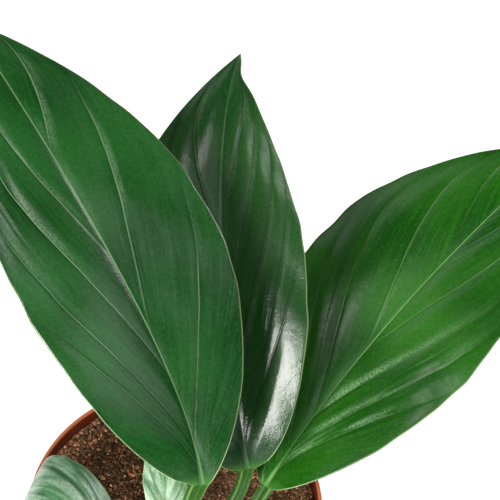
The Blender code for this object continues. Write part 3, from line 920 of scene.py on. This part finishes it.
def make_blade(name, leaf, columns, seed, top_paint, under_paint):
    halves = [half_blade(leaf, side, columns, seed) for side in (0, 1)]
    top = across_blade(halves, "top")
    rows = top.shape[0] - 1
    wide = top.shape[1]
    points = np.concatenate([with_tip(top), with_tip(across_blade(halves, "under"))])
    second = rows * wide + 1
    tip = rows * wide
    faces = blade_faces(rows, wide, 0, 1)
    top_count = len(faces)
    faces += blade_faces(rows, wide, second, -1)
    for column, turn in ((0, -1), (wide - 1, 1)):
        for row in range(rows):
            a = row * wide + column
            b = a + wide if row < rows - 1 else tip
            faces.append((a, a + second, b + second, b)[::turn])
    for column in range(wide - 1):
        faces.append((column, column + second, column + 1 + second, column + 1))
    piece = make_piece("blade_" + name, points, faces, [top_paint, under_paint])
    slots = np.ones(len(faces), np.int32)
    slots[:top_count] = 0
    piece.data.polygons.foreach_set("material_index", slots)
    for layer in BLADE_LAYERS:
        values = with_tip(across_blade(halves, layer))
        add_uv(piece, layer, np.concatenate([values, values]))
    face_outward(piece)
    finish_piece(piece, "leaf_" + name)


# Stem and stalks

def stem_radius(share):
    closing = max(0.0, (share - STEM_TIP_START) / (1 - STEM_TIP_START))
    radius = STEM_RADIUS + (STEM_TIP_RADIUS - STEM_RADIUS) * closing ** 1.6 - STEM_TAPER * share
    scar = cos(pi * STEM_SCARS * share) ** 16 if share < STEM_TIP_START else 0.0
    return min(radius + SCAR_HEIGHT * scar, STEM_RADIUS)


def make_tube(name, rings, shares, paint):
    """A closed tube that maps the share of its length, and the turn round it."""
    sides = len(rings[0])
    points = [point for ring in rings for point in ring]
    piece = make_piece(name, points, ring_faces(len(rings), sides), [paint])
    add_uv(piece, "stalk", [(share, side / sides) for share in shares for side in range(sides)])
    return piece


def make_stem(paint):
    shares = [step / STEM_STEPS for step in range(STEM_STEPS + 1)]
    rings = []
    for share in shares:
        x, y, z = cubic(STEM_PATH, share)
        rings.append(circle(x, y, stem_radius(share), z, STEM_SIDES))
    piece = make_tube("stem_fine", rings, shares, paint)
    finish_piece(piece, "stem")


def stalk_ring(centre, direction, level, size, wing):
    """One ring of a stalk: an oval with a thin edge at each side of the groove along its top."""
    across = unit(level - direction * (level @ direction))
    above = np.cross(across, direction) * STALK_DEPTH
    ring = []
    for side in range(STALK_SIDES):
        degrees = 360 * side / STALK_SIDES
        turn = radians(degrees)
        off = min(abs(degrees - WING_ANGLE), abs(degrees - (180 - WING_ANGLE)))
        groove = STALK_GROOVE * max(0.0, sin(turn)) ** 8
        reach = size * (1 - groove + wing * bell(off, WING_SPREAD))
        ring.append(centre + reach * (across * cos(turn) + above * sin(turn)))
    return ring


def stalk_rings(leaf, along, level):
    """Rings from the stem up to the blade, where the stalk swells and sinks under it."""
    start, bend, *lead_in = leaf["stalk"]
    end = np.array(leaf["midrib"][0], float)
    lead_in = lead_in or [end - along * STALK_LEAD * leaf["stalk_radius"]]
    path = (start, bend, *lead_in, end)
    up = unit(np.cross(level, along))
    rings = []
    for step in range(STALK_STEPS + 1):
        share = step / STALK_STEPS
        swelling = STALK_SWELLING * bell(share - STALK_JOINT, 1 - STALK_JOINT)
        size = leaf["stalk_radius"] * (1 + STALK_FLARE * (1 - share) ** 3 + swelling)
        centre = cubic(path, share) - up * STALK_DROP * size * smooth_step((share - 0.6) / 0.4)
        rings.append(stalk_ring(centre, cubic_direction(path, share), level, size, WING_REACH))
    return rings


def keel_rings(leaf, level):
    """Rings that run on below the blade, as the start of its keel."""
    length = run_along(leaf["midrib"])[1][-1]
    rings = []
    for step in range(1, KEEL_STEPS + 1):
        share = step / KEEL_STEPS
        t = min(KEEL_RUN, length / 4) * share / length
        size = leaf["stalk_radius"] * (1 + STALK_SWELLING) * (1 - share) ** 0.8 + 0.15
        deeper = min(1.0, 3 * share)
        middle, _, above = blade_frame(leaf, np.array(t))
        centre = middle - above * (size * between((STALK_DROP, 1), deeper) + 0.5 * deeper)
        wing = WING_REACH * (1 - share) ** 6
        rings.append(stalk_ring(centre, cubic_direction(leaf["midrib"], t), level, size, wing))
    return rings


def make_stalk(name, leaf, paint):
    along = cubic_direction(leaf["midrib"], 0.0)
    level = np.cross(along, [0, 0, 1])
    rings = stalk_rings(leaf, along, level) + keel_rings(leaf, level)
    shares = [min(1, step / STALK_STEPS) for step in range(len(rings))]
    piece = make_tube("stalk_" + name, rings, shares, paint)
    face_outward(piece)
    finish_piece(piece, "petiole_" + name)


# Soil

def body_radius(z):
    return FOOT_RADIUS + (RIM_RADIUS - COLLAR_STEP - FOOT_RADIUS) * z / POT_HEIGHT


def inner_radius(z):
    step_start = POT_HEIGHT - COLLAR_HEIGHT
    step = np.clip((z - step_start) / COLLAR_STEP, 0, 1) * COLLAR_STEP
    return body_radius(z) - WALL + step


def soil_height(x, y):
    waves = (sin(0.19 * x + 0.7) * cos(0.16 * y - 0.4)
             + 0.6 * sin(0.37 * x - 0.31 * y + 1.3)
             + 0.4 * cos(0.61 * x + 0.47 * y))
    edge = min(1.0, hypot(x, y) / inner_radius(SOIL_TOP))
    return SOIL_TOP + SOIL_UNEVEN * waves / 2 - SOIL_DIP * edge ** 8


def add_tint(piece, colours):
    layer = piece.data.color_attributes.new(name="tint", type="FLOAT_COLOR", domain="POINT")
    layer.data.foreach_set("color", np.asarray(colours, np.float32).ravel())


def make_soil_bed(paint, draw):
    """The clotted surface under the crumbs, and the soil's sides down to the pot's floor."""
    rim = inner_radius(SOIL_TOP) - 0.35
    points = []
    for ring in range(SOIL_RINGS + 1):
        radius = rim * (1 - ring / SOIL_RINGS) + 0.05
        for x, y, _ in circle(0, 0, radius, 0, SOIL_SIDES):
            clot = (sin(1.9 * x + 2.3 * sin(0.9 * y))
                    * sin(1.7 * y + 1.9 * sin(1.1 * x))
                    + 0.6 * sin(3.7 * x - 2.9 * y) * sin(3.1 * y + 2.7 * x))
            grain = draw.uniform(-GRAIN_HEIGHT, GRAIN_HEIGHT)
            points.append((x, y, soil_height(x, y) + CLOT_HEIGHT * clot + grain))
    collar = POT_HEIGHT - COLLAR_HEIGHT
    deep = ((FLOOR + 0.3, inner_radius(FLOOR) - 2.0), (FLOOR + 2.0, inner_radius(FLOOR + 2.0) - 0.3),
            (collar, inner_radius(collar) - 0.3))
    side_points = []
    for height, radius in deep:
        side_points += circle(0, 0, radius, height, SOIL_SIDES)
    faces = ring_faces(SOIL_RINGS + 1 + len(deep), SOIL_SIDES)
    piece = make_piece("soil_bed", side_points + points, faces, [paint])
    shades = [(1, 1, 1, 1)] * len(side_points)
    for _ in points:
        value = draw.uniform(0.55, 1.0)
        shades.append((value, value * 0.94, value * 0.9, 1))
    add_tint(piece, shades)
    face_outward(piece)
    finish_piece(piece, "soil")


def lump(draw, size, detail):
    """An uneven lump round the origin: its points and faces."""
    shell = bmesh.new()
    bmesh.ops.create_icosphere(shell, subdivisions=detail, radius=1.0)
    stretch = Vector((draw.uniform(0.7, 1.3), draw.uniform(0.6, 1.1), draw.uniform(0.5, 0.9)))
    points = [Vector(v.co) * draw.uniform(0.75, 1.2) for v in shell.verts]
    faces = [tuple(v.index for v in face.verts) for face in shell.faces]
    shell.free()
    axis = Vector((draw.uniform(-1, 1), draw.uniform(-1, 1), draw.uniform(-1, 1)))
    turn = axis.to_track_quat("Z", "Y")
    return [turn @ (point * stretch * size) for point in points], faces


def soil_spot(draw, inset):
    """A random place on the soil, clear of the stem."""
    while True:
        radius = (inner_radius(SOIL_TOP) - inset) * sqrt(draw.random())
        turn = draw.uniform(0, 2 * pi)
        x = radius * cos(turn)
        y = radius * sin(turn)
        if hypot(x - STEM_PATH[0][0], y - STEM_PATH[0][1]) > STEM_RADIUS + 0.6:
            return x, y


def crumb_tint(draw):
    kind = draw.random()
    if kind < 0.09:
        return (2.6, 2.3, 1.9, 1)
    if kind < 0.19:
        return (1.7, 1.2, 0.9, 1)
    value = draw.uniform(0.2, 1.35)
    return (value, value * draw.uniform(0.86, 1.0), value * draw.uniform(0.8, 0.95), 1)


def soil_lump(draw, sizes, detail):
    """A lump that rests half sunk on the soil: its points and faces."""
    size = between(sizes, draw.random() ** 2.2)
    x, y = soil_spot(draw, 0.5 + size)
    shape, faces = lump(draw, size, detail)
    height = soil_height(x, y) + 0.35 * size + draw.uniform(-0.1, 0.5)
    return [(x + p.x, y + p.y, height + p.z) for p in shape], faces


def soil_fibre(draw):
    """A short bent thread of coir that lies on the crumbs: its points and faces."""
    sides = 3
    steps = 5
    x, y = soil_spot(draw, 3.5)
    turn = draw.uniform(0, 2 * pi)
    bend = draw.uniform(-0.5, 0.5)
    length = draw.uniform(1.5, 5.5)
    thick = draw.uniform(0.06, 0.14)
    height = soil_height(x, y) + draw.uniform(0.4, 1.0)
    points = []
    for step in range(steps + 1):
        share = step / steps - 0.5
        angle = turn + bend * share * 2
        centre = Vector((x + length * share * cos(angle), y + length * share * sin(angle),
                         height + 0.5 * cos(pi * share) + 0.25 * share))
        across = Vector((-sin(angle), cos(angle), 0))
        for out, up, _ in circle(0, 0, thick, 0, sides):
            points.append(tuple(centre + across * out + Vector((0, 0, up))))
    return points, ring_faces(steps + 1, sides)


def scatter(name, count, smooth, draw, paint, make_one, *shape):
    """Many lumps or fibres in one mesh, each in a tint of its own."""
    shapes = []
    tints = []
    for _ in range(count):
        points, faces = make_one(draw, *shape)
        shapes.append((points, faces))
        tints += [crumb_tint(draw)] * len(points)
    piece = make_piece(name, *joined(shapes), [paint], smooth)
    add_tint(piece, tints)
    finish_piece(piece, "soil")


# Pot

def arc(x, z, across, high, start, end, steps):
    """Points of an oval arc round x and z, from one angle to another."""
    turns = [radians(start + (end - start) * step / steps) for step in range(steps + 1)]
    return [(x + across * cos(turn), z + high * sin(turn)) for turn in turns]


def pot_profile():
    """The pot's section as (radius, height): up the inside, over the lip and down the outside."""
    collar = POT_HEIGHT - COLLAR_HEIGHT
    corner = INNER_CORNER
    inside = [(0, FLOOR), (inner_radius(FLOOR) - corner, FLOOR)]
    inside += arc(inner_radius(FLOOR + corner) - corner, FLOOR + corner, corner, corner, -90, 0, 6)[1:]
    steps_up = [collar - 0.3, collar] + [collar + COLLAR_STEP * step / 4 for step in range(1, 5)]
    inside += [(inner_radius(z), z) for z in steps_up + [POT_HEIGHT - 6, POT_HEIGHT - 1.2]]
    lip_radius = WALL / 2
    lip = arc(RIM_RADIUS - lip_radius, POT_HEIGHT - lip_radius, lip_radius, lip_radius, 180, 0, 12)
    outer_collar = body_radius(collar) + COLLAR_STEP
    outside = [(RIM_RADIUS - 0.1, POT_HEIGHT - 1.6)]
    outside += arc(outer_collar - 0.5, collar + 0.6, 0.5, 0.6, 0, -90, 4)
    outside += [(body_radius(collar - 0.6) + 0.2, collar - 0.6)]
    outside += [(body_radius(z), z) for z in (collar - 1.6, 50, 30, 10)]
    outside += arc(body_radius(1.5) - FOOT_ROUND, FOOT_ROUND, FOOT_ROUND, FOOT_ROUND, 0, -90, 6)
    return inside + lip + outside + [(0, 0)]


def make_bars(name, corners_of):
    """A cutter with one bar or post for each drain hole."""
    shapes = []
    for hole in range(DRAIN_HOLES):
        low, high = corners_of(2 * pi * (hole + 0.5) / DRAIN_HOLES)
        shapes.append((low + high, ring_faces(2, len(low))))
    cutter = make_piece(name, *joined(shapes), [], smooth=False)
    face_outward(cutter)
    return cutter


def drain_post(angle):
    x = DRAIN_CIRCLE * cos(angle)
    y = DRAIN_CIRCLE * sin(angle)
    return (circle(x, y, DRAIN_RADIUS, -CUT_PAST, 40), circle(x, y, DRAIN_RADIUS, FLOOR + CUT_PAST, 40))


def drain_bar(angle):
    out = np.array([cos(angle), sin(angle)])
    across = np.array([-out[1], out[0]]) * CHANNEL_WIDTH / 2
    far = FOOT_RADIUS + CUT_PAST
    corners = [out * reach + across * side
               for reach, side in ((DRAIN_CIRCLE, -1), (far, -1), (far, 1), (DRAIN_CIRCLE, 1))]
    return ([(x, y, -CUT_PAST) for x, y in corners], [(x, y, CHANNEL_DEPTH) for x, y in corners])


def make_pot(paint):
    profile = pot_profile()
    points = []
    for radius, height in profile:
        points += circle(0, 0, max(radius, 0.01), height, POT_SIDES)
    pot = make_piece("pot_fine", points, ring_faces(len(profile), POT_SIDES), [paint])
    face_outward(pot)
    for cutter in (make_bars("drain_posts", drain_post), make_bars("drain_bars", drain_bar)):
        cut = pot.modifiers.new("cut", "BOOLEAN")
        cut.operation = "DIFFERENCE"
        cut.object = cutter
        bpy.context.view_layer.update()
        mesh = bpy.data.meshes.new_from_object(pot.evaluated_get(bpy.context.evaluated_depsgraph_get()))
        pot.modifiers.clear()
        pot.data = mesh
        bpy.data.objects.remove(cutter, do_unlink=True)
    pot.data.shade_smooth()
    pot.data.set_sharp_from_angle(angle=radians(35))
    pot.data.materials.clear()
    pot.data.materials.append(paint)
    uv = []
    for vertex in pot.data.vertices:
        radius = hypot(vertex.co.x, vertex.co.y) / MM
        height = vertex.co.z / MM
        wall_middle = inner_radius(height) + WALL / 2
        inside = 1.0 if radius < wall_middle and 1.5 < height < POT_HEIGHT - 0.9 else 0.0
        uv.append((inside, height / POT_HEIGHT))
    add_uv(pot, "pot", uv)
    finish_piece(pot, "pot")


def dress():
    draw = random.Random(11)
    make_pot(pot_material())
    soil_paint = soil_material()
    make_soil_bed(soil_paint, draw)
    scatter("soil_crumbs", CRUMBS, False, draw, soil_paint, soil_lump, (0.25, 1.0), 1)
    scatter("soil_grit", CRUMBS, False, draw, soil_paint, soil_lump, (0.2, 0.7), 1)
    scatter("soil_chips", CHIPS, False, draw, soil_paint, soil_lump, (0.7, 1.4), 2)
    scatter("soil_fibres", FIBRES, True, draw, soil_paint, soil_fibre)
    make_stem(stalk_material("stem_skin", STEM_GREENS))
    stalk_paint = stalk_material("stalk_skin", STALK_GREENS)
    under_paint = leaf_under_material()
    for seed, (name, leaf) in enumerate(LEAVES.items()):
        make_stalk(name, leaf, stalk_paint)
        columns = SMALL_COLUMNS if name.startswith("small") else LARGE_COLUMNS
        top_paint = leaf_top_material("leaf_top_" + name, LOOKS[name])
        make_blade(name, leaf, columns, seed, top_paint, under_paint)


bpy.context.scene.view_settings.view_transform = "Standard"
make_camera()
make_world()
for softbox in SOFTBOXES:
    make_softbox(*softbox)
make_floor()
dress()
